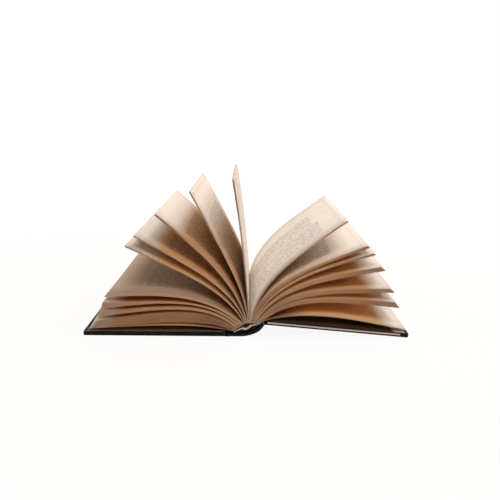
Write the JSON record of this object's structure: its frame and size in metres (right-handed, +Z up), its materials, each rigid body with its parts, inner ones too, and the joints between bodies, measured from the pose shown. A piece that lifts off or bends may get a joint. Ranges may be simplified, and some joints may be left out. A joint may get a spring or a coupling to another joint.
{
  "type": "hardback book",
  "caption": "Hardback book with a black cloth case, standing open on its covers with its aged leaves fanned out.",
  "frame": {"origin": "middle of the flat of the spine, where it rests on the table", "axes": "+X across the open book to the back cover, +Y along the spine to the head, +Z up"},
  "size_m": [0.3044, 0.211, 0.1461],
  "materials": {
    "leaf_paper": "matte",
    "lining_paper": "matte",
    "endpaper": "matte",
    "book_cloth": "matte",
    "grey_board": "matte"
  },
  "bodies": {
    "book_block": {"text_block": "leaf_paper", "spine_lining": "lining_paper", "spine_cloth": "book_cloth", "spine_inlay": "grey_board"},
    "front_cover": {"front_board": "grey_board", "front_cloth": "book_cloth", "front_pastedown": "endpaper"},
    "back_cover": {"back_board": "grey_board", "back_cloth": "book_cloth", "back_pastedown": "endpaper"}
  },
  "joints": [
    {"name": "front_cover_hinge", "type": "hinge", "parent": "book_block", "child": "front_cover", "pos_m": [-0.0059, 0, 0], "axis": [0, -1, 0], "range_deg": [0, 90]},
    {"name": "back_cover_hinge", "type": "hinge", "parent": "book_block", "child": "back_cover", "pos_m": [0.02872, 0, 0.01141], "axis": [0, 1, 0], "range_deg": [0, 90]}
  ]
}
